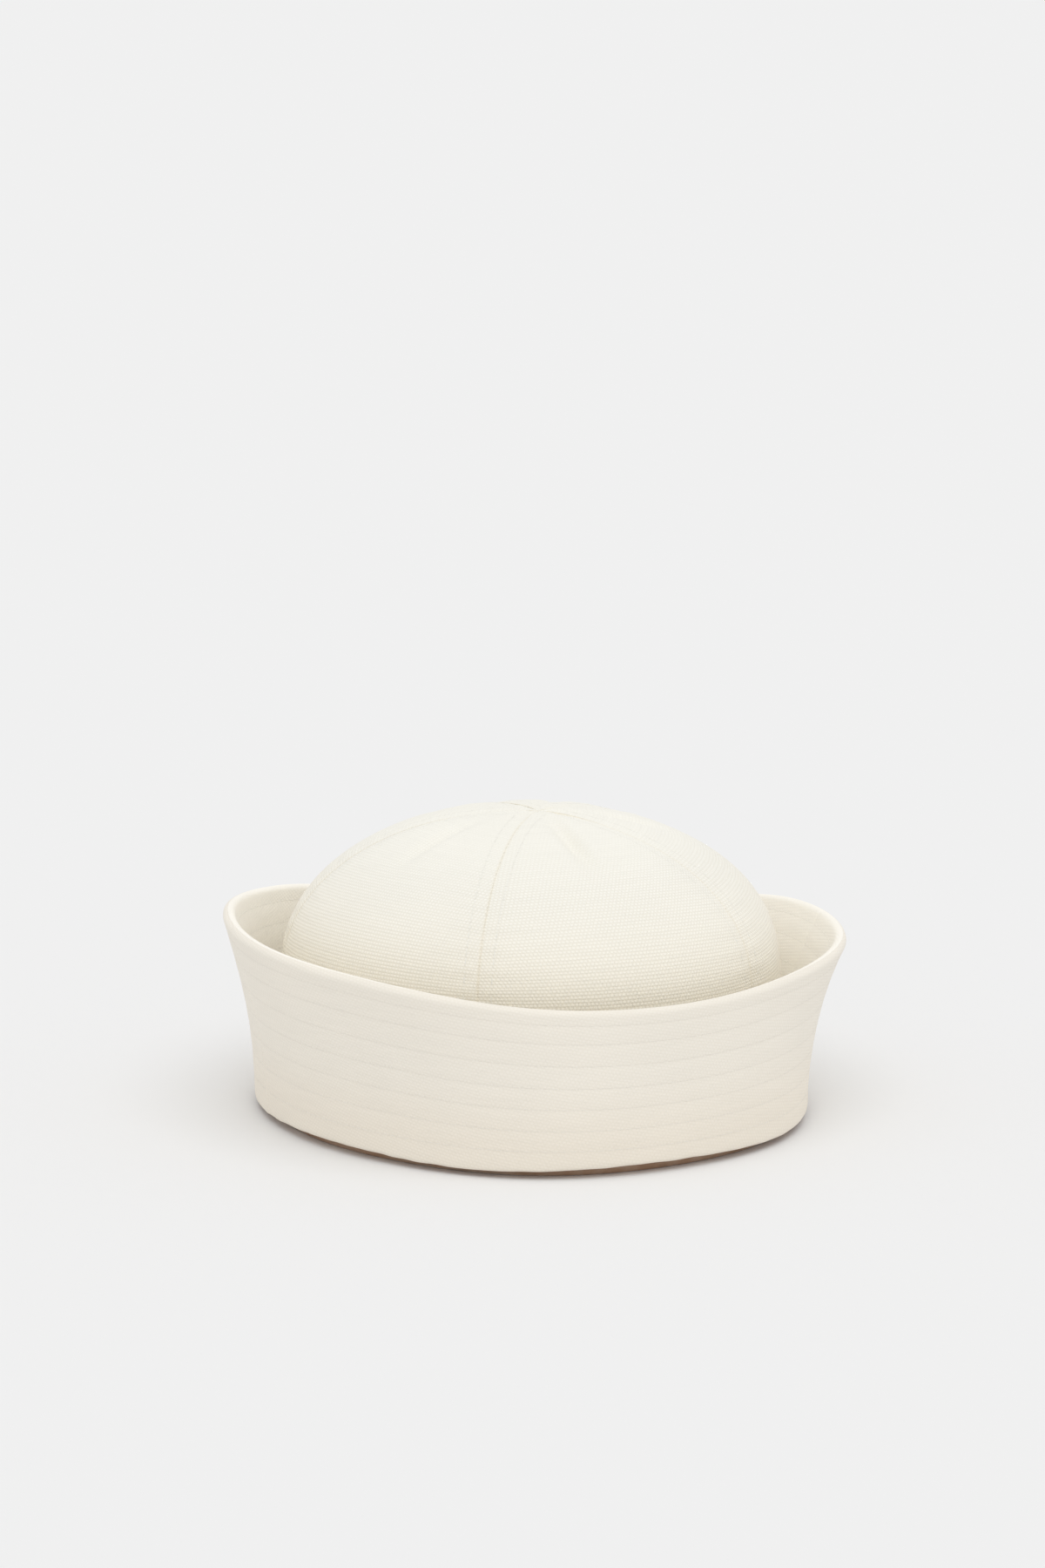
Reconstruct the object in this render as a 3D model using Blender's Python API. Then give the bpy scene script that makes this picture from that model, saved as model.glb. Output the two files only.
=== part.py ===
# Sailor cap: a round crown of canvas gores inside a deep two-ply brim that is turned up all round.
# Metres, +Z up. The cap rests at z = 0 on the fold of its brim, with its front towards -Y.
# Azimuths are in degrees from the front, positive towards +X.

import math
from collections import namedtuple

import bmesh
import bpy
from mathutils import Vector

# Size of the cap round the head, measured outside the fold
BASE_LENGTH = 0.2006
BASE_WIDTH = 0.1814
BASE_TURN = 14.5

# Brim: the rim's mean height above the table and how far it leans out past the fold
BRIM_HEIGHT = 0.0580
BRIM_FLARE = 0.0100
BRIM_PLY = 0.0018
FOLD_RADIUS = 0.0024
FOLD_MARGIN = 0.0012
SIDE_SEAM = 107.0

# Crown: its shoulder is where the dome turns into the side wall. A DOME_POWER of 1 is an ellipse, more
# slims the dome and less fills it out. A WALL_SPLAY of 1 is a straight side wall, and more keeps it upright
# longer. The gores meet a little right of and before the middle; a larger APEX_PULL keeps that shift nearer
# the apex.
CROWN_WIDTH = 0.1643
CROWN_DEPTH = 0.1560
CROWN_HEIGHT = 0.0998
SHOULDER_HEIGHT = 0.0482
CROWN_PLY = 0.0012
DOME_POWER = 0.98
APEX_RIGHT = 0.0024
APEX_FORWARD = 0.0045
APEX_PULL = 4.0
WALL_SPLAY = 1.25
GORES = 5
FIRST_SEAM = -12.0

# Dips in the cloth of the crown: along each seam, and down the middle of each gore near the apex
SEAM_DIP = 0.0006
SEAM_DIP_WIDTH = 0.0045
CREASE_DEPTH = 0.0014
CREASE_WIDTH = 0.0040
CREASE_TAPER = 1.5

# Clearance between pieces of cloth that lie against each other
GAP = 0.0003

# Faces along each piece
BRIM_COLUMNS = 32
BRIM_WALL_ROWS = 9
FOLD_ROWS = 3
GORE_COLUMNS = 12
DOME_ROWS = 11
SIDE_ROWS = 5

# Round the brim: the fold's radius as a share of the oval, flare and height as shares of BRIM_FLARE and
# BRIM_HEIGHT, and the power of the lean
BrimSection = namedtuple("BrimSection", "azimuth base flare height bow")
BRIM_SECTIONS = [
    BrimSection(-180, 1.000, 0.30, 0.894, 1.86),
    BrimSection(-150, 1.000, 0.16, 0.942, 1.72),
    BrimSection(-120, 1.000, 0.56, 1.074, 1.62),
    BrimSection(-90, 1.000, 0.99, 1.139, 1.69),
    BrimSection(-60, 0.971, 1.25, 1.097, 1.71),
    BrimSection(-30, 0.947, 0.82, 1.026, 1.84),
    BrimSection(0, 0.970, -0.14, 0.927, 2.00),
    BrimSection(30, 0.967, -0.07, 0.901, 2.14),
    BrimSection(60, 1.000, 0.30, 0.937, 2.24),
    BrimSection(90, 0.995, 1.35, 0.961, 2.20),
    BrimSection(120, 0.998, 1.38, 0.974, 2.15),
    BrimSection(150, 0.998, 0.69, 0.896, 2.00),
]

# A row for each gore: where its crease starts and ends between apex and shoulder, and its share of the depth
GoreCrease = namedtuple("GoreCrease", "start end depth")
GORE_CREASES = [
    GoreCrease(0.07, 0.46, 1.0),
    GoreCrease(0.10, 0.40, 0.6),
    GoreCrease(0.08, 0.38, 0.5),
    GoreCrease(0.10, 0.42, 0.6),
    GoreCrease(0.12, 0.52, 0.8),
]

CROWN_COLOUR = (0.871, 0.840, 0.748, 1.0)
BRIM_COLOUR = (0.800, 0.752, 0.652, 1.0)
CANVAS_ROUGHNESS = 0.92
SHARP_ANGLE = math.radians(40.0)
MERGE_DISTANCE = 1e-6


def clear_scene():
    for thing in list(bpy.data.objects):
        bpy.data.objects.remove(thing, do_unlink=True)


def canvas(name, colour):
    material = bpy.data.materials.new(name + "_canvas")
    material.use_nodes = True
    shader = material.node_tree.nodes["Principled BSDF"]
    shader.inputs["Base Color"].default_value = colour
    shader.inputs["Roughness"].default_value = CANVAS_ROUGHNESS
    shader.inputs["Metallic"].default_value = 0.0
    return material


def around(azimuth, column):
    """The value of a column of BRIM_SECTIONS at any azimuth, on a smooth closed curve through its rows."""
    count = len(BRIM_SECTIONS)
    place = (azimuth - BRIM_SECTIONS[0].azimuth) / 360.0 * count
    row = math.floor(place)
    t = place - row
    before, start, end, after = (
        getattr(BRIM_SECTIONS[(row + step) % count], column) for step in (-1, 0, 1, 2)
    )
    slope_in = (end - before) / 2.0
    slope_out = (after - start) / 2.0
    curve = 2.0 * start - 2.0 * end + slope_in + slope_out
    bend = -3.0 * start + 3.0 * end - 2.0 * slope_in - slope_out
    return ((curve * t + bend) * t + slope_in) * t + start


def heading(azimuth):
    angle = math.radians(azimuth)
    return Vector((math.sin(angle), -math.cos(angle), 0.0))


def base_radius(azimuth):
    """Outside of the fold: an oval as long as the head, turned from the front and flattened there."""
    mean = (BASE_LENGTH + BASE_WIDTH) / 4.0
    swing = (BASE_LENGTH - BASE_WIDTH) / 4.0
    oval = mean + swing * math.cos(2.0 * math.radians(azimuth - BASE_TURN))
    return oval * around(azimuth, "base")


def brim_wall(azimuth, rise, depth):
    """A point of the brim's wall, from the top of the fold (rise 0) to the rim (rise 1), depth inside it."""
    flare = BRIM_FLARE * around(azimuth, "flare")
    tall = BRIM_HEIGHT * around(azimuth, "height") - FOLD_RADIUS
    bow = around(azimuth, "bow")
    lean = flare * bow * rise ** (bow - 1.0)
    length = math.hypot(tall, lean)
    radius = base_radius(azimuth) + flare * rise ** bow - depth * tall / length
    height = FOLD_RADIUS + tall * rise + depth * lean / length
    return heading(azimuth) * radius + Vector((0.0, 0.0, height))


def brim_fold(azimuth, turn, depth):
    """A point of the quarter-round fold, from the table (turn 0) to the foot of the wall (turn 1)."""
    angle = turn * math.pi / 2.0
    bend = FOLD_RADIUS - depth
    radius = base_radius(azimuth) - FOLD_RADIUS + bend * math.sin(angle)
    height = FOLD_RADIUS - bend * math.cos(angle)
    return heading(azimuth) * radius + Vector((0.0, 0.0, height))


def crown_hem_inset():
    """How far the crown's hem lies inside the fold, past both plies of the brim and their gaps."""
    return 2.0 * (BRIM_PLY + GAP)


def fold_edge(azimuth, depth):
    """The inner edge of the brim's outer ply, which lies flat under the crown's hem."""
    inset = crown_hem_inset() + CROWN_PLY + FOLD_MARGIN
    return heading(azimuth) * (base_radius(azimuth) - inset) + Vector((0.0, 0.0, depth))


def gore_middle(gore):
    return FIRST_SEAM + (gore + 0.5) * 360.0 / GORES


def crown_dip(azimuth, gore, share, radius):
    """How far the cloth sinks at its seams and in the crease down the middle of the gore."""
    half = 180.0 / GORES
    off_middle = math.radians(abs(azimuth - gore_middle(gore))) * radius
    off_seam = max(math.radians(half) * radius - off_middle, 0.0)
    dip = SEAM_DIP * math.exp(-(off_seam / SEAM_DIP_WIDTH) ** 2)
    crease = GORE_CREASES[gore % len(GORE_CREASES)]
    along = (share - crease.start) / (crease.end - crease.start)
    if 0.0 < along < 1.0:
        swell = math.sin(math.pi * along) ** CREASE_TAPER
        dip += CREASE_DEPTH * crease.depth * swell * math.exp(-(off_middle / CREASE_WIDTH) ** 2)
    return dip


def dome_radius(share, depth):
    """Half width and half depth of the dome, at a share of the way from its apex to its shoulder."""
    across = math.sin(share * math.pi / 2.0) ** DOME_POWER
    return (CROWN_WIDTH / 2.0 - depth) * across, (CROWN_DEPTH / 2.0 - depth) * across


def dome_rise(share):
    """Share of the dome's height that is left, at a share of the way from its apex to its shoulder."""
    return max(math.cos(share * math.pi / 2.0), 0.0) ** DOME_POWER


def crown_dome(azimuth, gore, share, depth):
    wide, deep = dome_radius(share, 0.0)
    sunk = depth + crown_dip(azimuth, gore, share, (wide + deep) / 2.0)
    wide, deep = dome_radius(share, sunk)
    way = heading(azimuth)
    height = SHOULDER_HEIGHT + (CROWN_HEIGHT - SHOULDER_HEIGHT - sunk) * dome_rise(share)
    pull = (1.0 - math.sin(share * math.pi / 2.0)) ** APEX_PULL
    return Vector((wide * way.x + APEX_RIGHT * pull, deep * way.y - APEX_FORWARD * pull, height))


def crown_side(azimuth, gore, drop, depth):
    """The side wall, from the shoulder (drop 0) to the hem (drop 1), where it meets the brim's inner ply."""
    top = crown_dome(azimuth, gore, 1.0, depth)
    foot = heading(azimuth) * (base_radius(azimuth) - crown_hem_inset() - depth)
    blend = drop ** WALL_SPLAY
    hem_height = BRIM_PLY + GAP
    point = top.lerp(foot, blend)
    point.z = SHOULDER_HEIGHT + (hem_height - SHOULDER_HEIGHT) * drop
    return point


def crown_point(gore, across, row, depth):
    """A point of a gore: across runs from -1 to 1 between its seams, row counts from the apex to the hem."""
    half = 180.0 / GORES
    tip = GAP / 2.0 / math.sin(math.radians(half))
    shoulder = (CROWN_WIDTH + CROWN_DEPTH) / 4.0
    tip_share = math.asin((tip / shoulder) ** (1.0 / DOME_POWER)) * 2.0 / math.pi
    share = tip_share + (1.0 - tip_share) * min(row / DOME_ROWS, 1.0)
    radius = shoulder * math.sin(share * math.pi / 2.0) ** DOME_POWER
    reach = half - math.degrees(math.asin(min(GAP / 2.0 / radius, math.sin(math.radians(half)))))
    azimuth = gore_middle(gore) + across * reach
    if row <= DOME_ROWS:
        return crown_dome(azimuth, gore, share, depth)
    return crown_side(azimuth, gore, (row - DOME_ROWS) / SIDE_ROWS, depth)


def outer_ply_point(azimuth, row, depth):
    """Rows run from the flat edge under the crown, round the fold and up the wall to the rim."""
    if row == 0:
        return fold_edge(azimuth, depth)
    if row <= FOLD_ROWS + 1:
        return brim_fold(azimuth, (row - 1) / FOLD_ROWS, depth)
    return brim_wall(azimuth, (row - 1 - FOLD_ROWS) / BRIM_WALL_ROWS, depth)


def inner_ply_point(azimuth, row, depth):
    return brim_wall(azimuth, row / BRIM_WALL_ROWS, BRIM_PLY + GAP + depth)


def half_brim_azimuth(half, across):
    """Azimuths of one half of the brim, between its side seams; half 0 is the front, 1 the back."""
    middle = SIDE_SEAM - 90.0 + 180.0 * half
    seam = math.degrees(GAP / (BASE_LENGTH + BASE_WIDTH) * 2.0)
    return middle + across * (90.0 - seam)


def sheet(name, columns, rows, ply, place, colour, parent):
    """A flat piece of cloth, given its thickness and then put in place by place(across, row, depth)."""
    bm = bmesh.new()
    bmesh.ops.create_grid(bm, x_segments=columns, y_segments=rows, size=1.0)
    bmesh.ops.solidify(bm, geom=bm.faces[:], thickness=1.0)
    for vert in bm.verts:
        across = vert.co.x
        row = round((1.0 - vert.co.y) / 2.0 * rows)
        depth = ply if abs(vert.co.z) > 0.5 else 0.0
        vert.co = place(across, row, depth)
    bmesh.ops.remove_doubles(bm, verts=bm.verts[:], dist=MERGE_DISTANCE)
    bmesh.ops.recalc_face_normals(bm, faces=bm.faces[:])
    mesh = bpy.data.meshes.new(name)
    bm.to_mesh(mesh)
    bm.free()
    mesh.materials.append(canvas(name, colour))
    mesh.shade_smooth()
    mesh.set_sharp_from_angle(angle=SHARP_ANGLE)
    piece = bpy.data.objects.new(name, mesh)
    piece.parent = parent
    bpy.context.scene.collection.objects.link(piece)
    return piece


def crown_panel(gore, parent):
    def place(across, row, depth):
        return crown_point(gore, across, row, depth)

    name = "crown_panel_%d" % (gore + 1)
    return sheet(name, GORE_COLUMNS, DOME_ROWS + SIDE_ROWS, CROWN_PLY, place, CROWN_COLOUR, parent)


def brim_ply(name, half, rows, point, parent):
    def place(across, row, depth):
        return point(half_brim_azimuth(half, across), row, depth)

    return sheet(name, BRIM_COLUMNS, rows, BRIM_PLY, place, BRIM_COLOUR, parent)


def main():
    clear_scene()
    cap = bpy.data.objects.new("sailor_cap", None)
    bpy.context.scene.collection.objects.link(cap)
    for gore in range(GORES):
        crown_panel(gore, cap)
    outline = []
    for half, side in enumerate(("front", "back")):
        rows = 1 + FOLD_ROWS + BRIM_WALL_ROWS
        outer = brim_ply("brim_outer_" + side, half, rows, outer_ply_point, cap)
        brim_ply("brim_inner_" + side, half, BRIM_WALL_ROWS, inner_ply_point, cap)
        outline += [vert.co for vert in outer.data.vertices]
    # The middle of the brim's outline, seen from above, stands on the origin
    for axis in (0, 1):
        reach = [point[axis] for point in outline]
        cap.location[axis] = -(min(reach) + max(reach)) / 2.0
    bpy.context.view_layer.update()


main()
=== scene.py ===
# %% [markdown]
# A sewn sailor cap
#
# The real cap is two things sewn together at the base: a crown of five canvas gores, and a deep brim of
# two plies of the same canvas, turned up all round and held stiff by parallel rows of topstitching.
# The solids already have the shape. Here each piece of cloth is cut again as a fine sheet, so that it can
# carry seams, puckers, rows of stitches and a weave.

# %% Load the frame
import math
from collections import namedtuple

import bmesh
import bpy
import numpy as np
from mathutils import Matrix, Vector, noise


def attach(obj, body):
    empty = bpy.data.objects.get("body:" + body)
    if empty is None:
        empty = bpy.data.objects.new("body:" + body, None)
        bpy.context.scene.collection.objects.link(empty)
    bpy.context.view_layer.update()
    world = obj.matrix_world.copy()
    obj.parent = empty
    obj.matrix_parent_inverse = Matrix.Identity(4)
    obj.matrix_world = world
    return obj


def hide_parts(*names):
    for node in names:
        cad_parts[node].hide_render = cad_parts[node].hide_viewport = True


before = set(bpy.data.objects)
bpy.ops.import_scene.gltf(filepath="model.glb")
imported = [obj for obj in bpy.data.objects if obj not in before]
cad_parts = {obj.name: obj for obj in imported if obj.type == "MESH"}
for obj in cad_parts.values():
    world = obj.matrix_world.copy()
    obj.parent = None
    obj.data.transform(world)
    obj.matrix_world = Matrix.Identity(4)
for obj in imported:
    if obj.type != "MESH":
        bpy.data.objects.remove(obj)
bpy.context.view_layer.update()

# %% [markdown]
# The camera
#
# The photograph was taken with a long lens, a little above the cap. The cap's outline gives the camera's
# height and the lens. The camera could be shifted to put the cap low in the picture, as a view camera does,
# but aiming it a little above the cap does the same and leaves nothing to undo.

# %% The camera
PHOTO_WIDTH, PHOTO_HEIGHT = 1200, 1800
CAMERA_DISTANCE = 1.6
CAMERA_ELEVATION = math.radians(12.7)
FOCAL_PIXELS = 5577.0
CAP_PIXEL = Vector((609.9, 1089.5))
CAP_MIDDLE = Vector((-0.0016, -0.0030, 0.052))
SENSOR = 36.0

away = Vector((0.0, -math.cos(CAMERA_ELEVATION), math.sin(CAMERA_ELEVATION)))
right = Vector((1.0, 0.0, 0.0))
up = away.cross(right)
metres_per_pixel = CAMERA_DISTANCE / FOCAL_PIXELS
aim = CAP_MIDDLE.copy()
aim += up * (CAP_PIXEL.y - PHOTO_HEIGHT / 2) * metres_per_pixel
aim -= right * (CAP_PIXEL.x - PHOTO_WIDTH / 2) * metres_per_pixel
camera_data = bpy.data.cameras.new("studio_camera")
camera_data.sensor_width = SENSOR
camera_data.lens = FOCAL_PIXELS / PHOTO_HEIGHT * SENSOR
camera_data.clip_end = 100.0
camera = bpy.data.objects.new("studio_camera", camera_data)
camera.location = CAP_MIDDLE + away * CAMERA_DISTANCE
camera.rotation_mode = "QUATERNION"
camera.rotation_quaternion = (aim - camera.location).to_track_quat("-Z", "Y")
bpy.context.scene.collection.objects.link(camera)
bpy.context.scene.camera = camera
print("lens %.1f mm, one photo pixel is %.2f mm at the cap" % (camera_data.lens, 1000 * metres_per_pixel))

# %% [markdown]
# Studio and light
#
# The picture is nearly shadowless: a white room lights the cap from all round, and a wide soft light high in
# front makes its top and its rim the brightest and reaches down inside the brim. A broad sun lamp gives that
# light evenly over the whole floor, where an area lamp would leave a bright pool.

# %% The floor
FLOOR_HALF = 30.0
FLOOR_DROP = 0.0001
FLOOR_GREY = 0.86

bm = bmesh.new()
bmesh.ops.create_grid(bm, x_segments=1, y_segments=1, size=FLOOR_HALF)
bmesh.ops.translate(bm, verts=bm.verts[:], vec=(0.0, 0.0, -FLOOR_DROP))
floor_mesh = bpy.data.meshes.new("studio_floor")
bm.to_mesh(floor_mesh)
bm.free()
floor = bpy.data.objects.new("studio_floor", floor_mesh)
bpy.context.scene.collection.objects.link(floor)
floor_paint = bpy.data.materials.new("studio_floor")
floor_paint.use_nodes = True
floor_shader = floor_paint.node_tree.nodes["Principled BSDF"]
floor_shader.inputs["Base Color"].default_value = (FLOOR_GREY, FLOOR_GREY, FLOOR_GREY, 1.0)
floor_shader.inputs["Roughness"].default_value = 1.0
floor_shader.inputs["Specular IOR Level"].default_value = 0.0
floor_mesh.materials.append(floor_paint)
print("the floor is %.0f m wide" % (2 * FLOOR_HALF))

# %% The light
ROOM_LIGHT = (1.0, 1.0, 1.0)
ROOM_STRENGTH = 0.80
TOP_STRENGTH = 0.72
TOP_SPREAD = math.radians(60.0)
TOP_TILT = (math.radians(20.0), math.radians(5.0))

room = bpy.data.worlds.new("white_room")
room.use_nodes = True
room.node_tree.nodes["Background"].inputs["Color"].default_value = (*ROOM_LIGHT, 1.0)
room.node_tree.nodes["Background"].inputs["Strength"].default_value = ROOM_STRENGTH
bpy.context.scene.world = room

top_lamp = bpy.data.lights.new("top_light", "SUN")
top_lamp.energy = TOP_STRENGTH
top_lamp.angle = TOP_SPREAD
top_light = bpy.data.objects.new("top_light", top_lamp)
top_light.rotation_euler = (*TOP_TILT, 0.0)
bpy.context.scene.collection.objects.link(top_light)
bpy.context.scene.view_settings.view_transform = "Standard"
print("room light %.2f, top light %.2f" % (ROOM_STRENGTH, TOP_STRENGTH))

# %% [markdown]
# The sizes of the cap
#
# Every sheet below lies on the solids, so it starts from the same named sizes. A short table gives the brim
# its shape: at each azimuth from the front, how wide the fold is, how far the rim leans out, how high it
# stands, and how late the lean begins. A smooth closed curve runs through the rows. Only the fold leaves the
# solids: it hangs a little above the table, because the photograph shows a dark strip under it.

# %% The sizes of the cap
BASE_LENGTH, BASE_WIDTH, BASE_TURN = 0.2006, 0.1814, 14.5
BRIM_HEIGHT, BRIM_FLARE, BRIM_PLY = 0.0580, 0.0100, 0.0018
FOLD_RADIUS, FOLD_MARGIN, SIDE_SEAM = 0.0024, 0.0012, 107.0
CROWN_WIDTH, CROWN_DEPTH, CROWN_HEIGHT = 0.1643, 0.1560, 0.0998
SHOULDER_HEIGHT, CROWN_PLY = 0.0482, 0.0012
DOME_POWER, WALL_SPLAY = 0.98, 1.25
APEX_RIGHT, APEX_FORWARD, APEX_PULL = 0.0024, 0.0045, 4.0
GORES, FIRST_SEAM, GAP = 5, -12.0, 0.0003
SEAM_GAP = 0.00001
FOLD_LIFT, FOLD_WAVE, FOLD_ROUND, FOLD_ROUGH = 0.0026, 0.0005, 0.0013, 0.00025

BRIM_AZIMUTH = np.arange(-180, 180, 30)
BRIM_SHAPE = {
    "base": (1.0, 1.0, 1.0, 1.0, 0.971, 0.947, 0.970, 0.967, 1.0, 0.995, 0.998, 0.998),
    "flare": (0.30, 0.16, 0.56, 0.99, 1.25, 0.82, -0.14, -0.07, 0.30, 1.35, 1.38, 0.69),
    "height": (0.894, 0.942, 1.074, 1.139, 1.097, 1.026, 0.927, 0.901, 0.937, 0.961, 0.974, 0.896),
    "bow": (1.86, 1.72, 1.62, 1.69, 1.71, 1.84, 2.00, 2.14, 2.24, 2.20, 2.15, 2.00),
}
MEAN_RADIUS = (BASE_LENGTH + BASE_WIDTH) / 4


def around(azimuth, column):
    """The smooth closed curve through a column of the table."""
    rows = BRIM_SHAPE[column]
    place = (azimuth - BRIM_AZIMUTH[0]) / 360 * len(rows)
    first = math.floor(place)
    t = place - first
    before, start, end, after = (rows[(first + step) % len(rows)] for step in (-1, 0, 1, 2))
    slope_in, slope_out = (end - before) / 2, (after - start) / 2
    cubic = 2 * start - 2 * end + slope_in + slope_out
    square = -3 * start + 3 * end - 2 * slope_in - slope_out
    return ((cubic * t + square) * t + slope_in) * t + start


def heading(azimuth):
    """The way outwards at an azimuth in degrees: 0 is the front and 90 the right."""
    angle = math.radians(azimuth)
    return Vector((math.sin(angle), -math.cos(angle), 0.0))


def base_radius(azimuth):
    swing = (BASE_LENGTH - BASE_WIDTH) / 4
    oval = MEAN_RADIUS + swing * math.cos(2 * math.radians(azimuth - BASE_TURN))
    return oval * around(azimuth, "base")


def wall_height(azimuth):
    return BRIM_HEIGHT * around(azimuth, "height") - FOLD_RADIUS


def at(azimuth, radius, height):
    return heading(azimuth) * radius + Vector((0.0, 0.0, height))


def brim_wall(azimuth, rise, out):
    """The brim's wall from the fold (rise 0) to the rim (rise 1), out metres outside its outer face."""
    flare, bow, tall = BRIM_FLARE * around(azimuth, "flare"), around(azimuth, "bow"), wall_height(azimuth)
    lean = flare * bow * rise ** (bow - 1)
    length = math.hypot(tall, lean)
    radius = base_radius(azimuth) + flare * rise ** bow + out * tall / length
    return at(azimuth, radius, FOLD_RADIUS + tall * rise - out * lean / length)


rim = [brim_wall(a, t, 0.0) for a in range(-180, 180) for t in (0.0, 1.0)]
OUTLINE_MIDDLE = Vector([(min(p[i] for p in rim) + max(p[i] for p in rim)) / 2 for i in (0, 1)] + [0.0])
print("the cap's own middle lies at", [round(-1000 * x, 2) for x in OUTLINE_MIDDLE], "mm")

# %% [markdown]
# Cutting a sheet of cloth
#
# A grid is the flat piece of cloth, and a function says where each of its points goes on the cap. The same
# function gives two maps. The weave map is in metres along the threads, so that the weave keeps its scale
# and bends with the cloth. The stitch map counts stitches along a row, and rows across it, so that a needle
# hole falls between each stitch and the next. Columns crowd towards the edges, where the cloth rolls into its
# seams. Solidify then gives the wall, and Bevel its soft edges.

# %% Cutting a sheet of cloth
EDGE_ROUND = 0.00006
EDGE_SEGMENTS = 3
EDGE_ANGLE = math.radians(50.0)
MERGE_DISTANCE = 1e-6


def crowd(x):
    """Moves evenly spaced columns from -1 to 1 towards both edges."""
    return math.sin(x * math.pi / 2)


def cut_cloth(name, columns, rows, place, ply, edge_round):
    """A sheet whose points go where place says, with a wall as thick as its ply."""
    bm = bmesh.new()
    bmesh.ops.create_grid(bm, x_segments=columns, y_segments=rows, size=1.0)
    maps = {layer: bm.loops.layers.uv.new(layer) for layer in ("weave", "stitch")}
    spots = {}
    for vert in bm.verts:
        point, weave, stitch = place(crowd(vert.co.x), (1 - vert.co.y) / 2)
        vert.co = point - OUTLINE_MIDDLE
        spots[vert] = {"weave": weave, "stitch": stitch}
    for face in bm.faces:
        face.smooth = True
        for loop in face.loops:
            for layer, uv in maps.items():
                loop[uv].uv = spots[loop.vert][layer]
    bmesh.ops.remove_doubles(bm, verts=bm.verts[:], dist=MERGE_DISTANCE)
    mesh = bpy.data.meshes.new(name)
    bm.to_mesh(mesh)
    bm.free()
    cloth = bpy.data.objects.new(name, mesh)
    bpy.context.scene.collection.objects.link(cloth)
    wall = cloth.modifiers.new("ply", "SOLIDIFY")
    wall.thickness = ply
    wall.offset = -1.0
    edge = cloth.modifiers.new("soft_edge", "BEVEL")
    edge.width = edge_round
    edge.segments = EDGE_SEGMENTS
    edge.limit_method = "ANGLE"
    edge.angle_limit = EDGE_ANGLE
    return cloth


# %% [markdown]
# The gores of the crown
#
# A gore is the real pattern piece, narrow at the apex and wide at the hem. It could be one dome with grooves
# drawn on it, but then the weave would run straight over the seams. As a separate piece each gore keeps its
# own grain: the weft runs level at its middle and dips towards both seams, as it does on the real cap. Its
# hem ends just above the ply of the brim that turns in below it.

# %% The plain crown
HEM_INSET = 2 * (BRIM_PLY + GAP)
HEM_HEIGHT = FOLD_LIFT + FOLD_WAVE + FOLD_ROUGH + BRIM_PLY
DOME_SHARE = 0.66
HALF_GORE = 180.0 / GORES
SHOULDER = (CROWN_WIDTH + CROWN_DEPTH) / 4


def gore_middle(gore):
    return FIRST_SEAM + (2 * gore + 1) * HALF_GORE


def dome(azimuth, share, out):
    across = math.sin(share * math.pi / 2) ** DOME_POWER
    climb = max(math.cos(share * math.pi / 2), 0.0) ** DOME_POWER
    pull = (1 - math.sin(share * math.pi / 2)) ** APEX_PULL
    way = heading(azimuth)
    x = (CROWN_WIDTH / 2 + out) * across * way.x + APEX_RIGHT * pull
    y = (CROWN_DEPTH / 2 + out) * across * way.y - APEX_FORWARD * pull
    return Vector((x, y, SHOULDER_HEIGHT + (CROWN_HEIGHT - SHOULDER_HEIGHT + out) * climb))


def crown(azimuth, down, out):
    """The crown from its apex (down 0) to its hem (down 1), out metres outside the plain shape."""
    if down <= DOME_SHARE:
        return dome(azimuth, down / DOME_SHARE, out)
    drop = (down - DOME_SHARE) / (1 - DOME_SHARE)
    foot = at(azimuth, base_radius(azimuth) - HEM_INSET + min(out, 0.0), HEM_HEIGHT)
    point = dome(azimuth, 1.0, out * (1 - drop)).lerp(foot, drop ** WALL_SPLAY)
    point.z = SHOULDER_HEIGHT + (HEM_HEIGHT - SHOULDER_HEIGHT) * drop
    return point


# Length down the middle of the crown, its mean radius there, and how fast that radius grows
PROFILE_POINTS = 401
LEAST_GROWTH = 0.02
DOWN = np.linspace(0.0, 1.0, PROFILE_POINTS)
profile = np.array([[SHOULDER * math.sin(min(d / DOME_SHARE, 1.0) * math.pi / 2) ** DOME_POWER,
                     dome(0.0, min(d / DOME_SHARE, 1.0), 0.0).z] for d in DOWN])
side = DOWN > DOME_SHARE
drops = (DOWN[side] - DOME_SHARE) / (1 - DOME_SHARE)
profile[side, 0] += (MEAN_RADIUS - HEM_INSET - SHOULDER) * drops ** WALL_SPLAY
profile[side, 1] += (HEM_HEIGHT - SHOULDER_HEIGHT) * drops
LENGTH = np.concatenate([[0.0], np.cumsum(np.hypot(*np.diff(profile, axis=0).T))])
GROWTH = np.clip(np.gradient(profile[:, 0], LENGTH), LEAST_GROWTH, 1.0)
print("a gore is %.0f mm long and %.0f mm wide at its hem" % (
    1000 * LENGTH[-1], 2000 * math.pi * profile[-1, 0] / GORES))

# %% [markdown]
# The low relief of the crown
#
# Sewing leaves marks. The cloth dips and rolls into each seam, puckers beside it, is gathered at the apex,
# and stands up a little where the seam's edges are folded in and stitched down, which is called a fell. A
# pressed crown also has a soft crease down each gore and slow dents. These could be sculpted by hand, but
# here each is a small named size, so it can be changed alone.

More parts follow.
